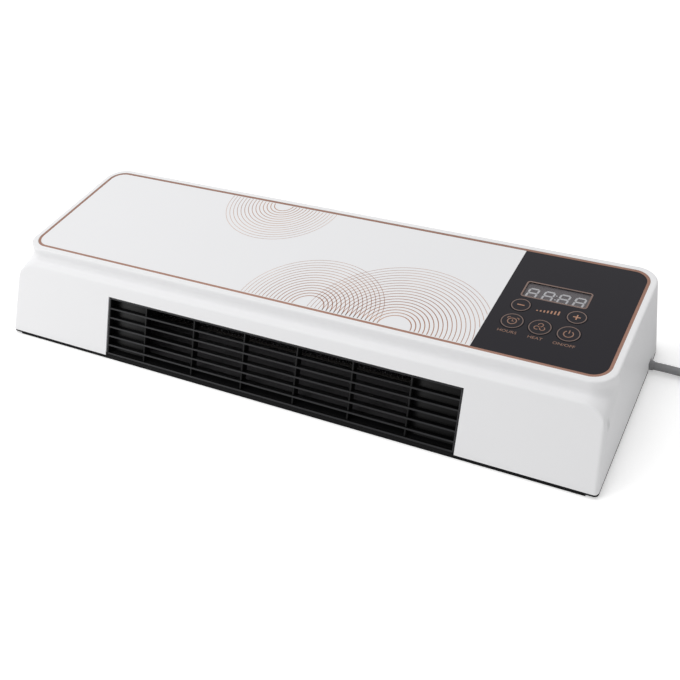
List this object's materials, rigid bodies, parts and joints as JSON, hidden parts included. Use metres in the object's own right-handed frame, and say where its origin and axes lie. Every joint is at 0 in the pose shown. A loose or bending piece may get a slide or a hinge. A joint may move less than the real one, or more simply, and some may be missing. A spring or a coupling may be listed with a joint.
{
  "type": "wall-mounted fan heater",
  "caption": "Low oblong wall fan heater with a raised flat top panel, leaning front louvre outlet, round touch keys, sunk display and a mains cord; a cross-flow fan blows over a heater bank.",
  "frame": {"origin": "middle of the heater's base on its back face, the face that goes to the wall", "axes": "+X along the length towards the control panel, +Y towards the side with the air inlet (up on a wall), +Z away from the wall towards the top panel"},
  "size_m": [0.6915, 0.2219, 0.0642],
  "materials": {
    "casing_white": "satin white moulding",
    "plate_black": "black moulding",
    "grille_black": "black louvre moulding",
    "duct_grey": "dark grey heat resistant moulding",
    "panel_white": "glossy white printed sheet",
    "panel_black": "glossy dark sheet",
    "copper": "satin copper",
    "window": "clear dark tinted window",
    "display": "black digit module",
    "board": "green circuit board",
    "dark_plastic": "black component plastic",
    "relay_blue": "blue relay case",
    "capacitor_yellow": "yellow film capacitor",
    "steel": "zinc plated steel",
    "bronze": "sintered bronze",
    "brass": "brass",
    "aluminium": "bare aluminium strip",
    "heater_plastic": "glass filled heater frame",
    "rubber": "black rubber",
    "wire": "insulated wire",
    "cord_grey": "mid grey cord sheath",
    "plug_grey": "mid grey plug moulding",
    "pin_nickel": "nickel plated brass",
    "tie_black": "black strap"
  },
  "bodies": {
    "housing": {"rear_plate": "plate_black", "front_casing": "casing_white", "casing_screws": "steel", "copper_trim": "copper", "decor_panel": "panel_white", "control_panel": "panel_black", "display_window": "window", "display_module": "display", "control_board": "board", "switch_bodies": "dark_plastic", "ir_receiver": "dark_plastic", "outlet_grille": "grille_black", "fan_scroll": "duct_grey", "duct_roof": "duct_grey", "bearing_bush": "bronze", "bearing_grommet": "rubber", "motor_can": "steel", "motor_bearings": "bronze", "motor_stator": "steel", "motor_mounts": "rubber", "motor_screws": "steel", "heater_frame": "heater_plastic", "heater_fins": "aluminium", "heater_elements": "aluminium", "heater_terminals": "brass", "thermal_cutout": "dark_plastic", "power_board": "board", "relays": "relay_blue", "filter_capacitor": "capacitor_yellow", "supply_transformer": "steel", "terminal_block": "dark_plastic", "inner_screws": "steel", "inner_wiring": "wire", "inner_lead": "cord_grey", "cord_clamp": "dark_plastic", "cord_gland": "cord_grey", "power_cord": "cord_grey", "cord_coil": "cord_grey", "cord_tie": "tie_black", "cord_tail": "cord_grey", "plug_body": "plug_grey", "plug_pins": "pin_nickel"},
    "fan": {"fan_impeller": "dark_plastic", "impeller_bush": "rubber", "stub_shaft": "steel", "motor_rotor": "steel", "motor_shaft": "steel"},
    "button_timer": {"key_timer": "panel_black", "plunger_timer": "dark_plastic"},
    "button_mode": {"key_mode": "panel_black", "plunger_mode": "dark_plastic"},
    "button_power": {"key_power": "panel_black", "plunger_power": "dark_plastic"},
    "button_minus": {"key_minus": "panel_black", "plunger_minus": "dark_plastic"},
    "button_plus": {"key_plus": "panel_black", "plunger_plus": "dark_plastic"}
  },
  "joints": [
    {"name": "fan_spin", "type": "hinge", "parent": "housing", "child": "fan", "pos_m": [0, 0.036, 0.033], "axis": [1, 0, 0], "continuous": true},
    {"name": "press_timer", "type": "slide", "parent": "housing", "child": "button_timer", "axis": [0, 0, -1], "range_m": [0, 0.0005], "stiffness_N_per_m": 1500, "springref_m": -0.0003},
    {"name": "press_mode", "type": "slide", "parent": "housing", "child": "button_mode", "axis": [0, 0, -1], "range_m": [0, 0.0005], "stiffness_N_per_m": 1500, "springref_m": -0.0003},
    {"name": "press_power", "type": "slide", "parent": "housing", "child": "button_power", "axis": [0, 0, -1], "range_m": [0, 0.0005], "stiffness_N_per_m": 1500, "springref_m": -0.0003},
    {"name": "press_minus", "type": "slide", "parent": "housing", "child": "button_minus", "axis": [0, 0, -1], "range_m": [0, 0.0005], "stiffness_N_per_m": 1500, "springref_m": -0.0003},
    {"name": "press_plus", "type": "slide", "parent": "housing", "child": "button_plus", "axis": [0, 0, -1], "range_m": [0, 0.0005], "stiffness_N_per_m": 1500, "springref_m": -0.0003}
  ]
}
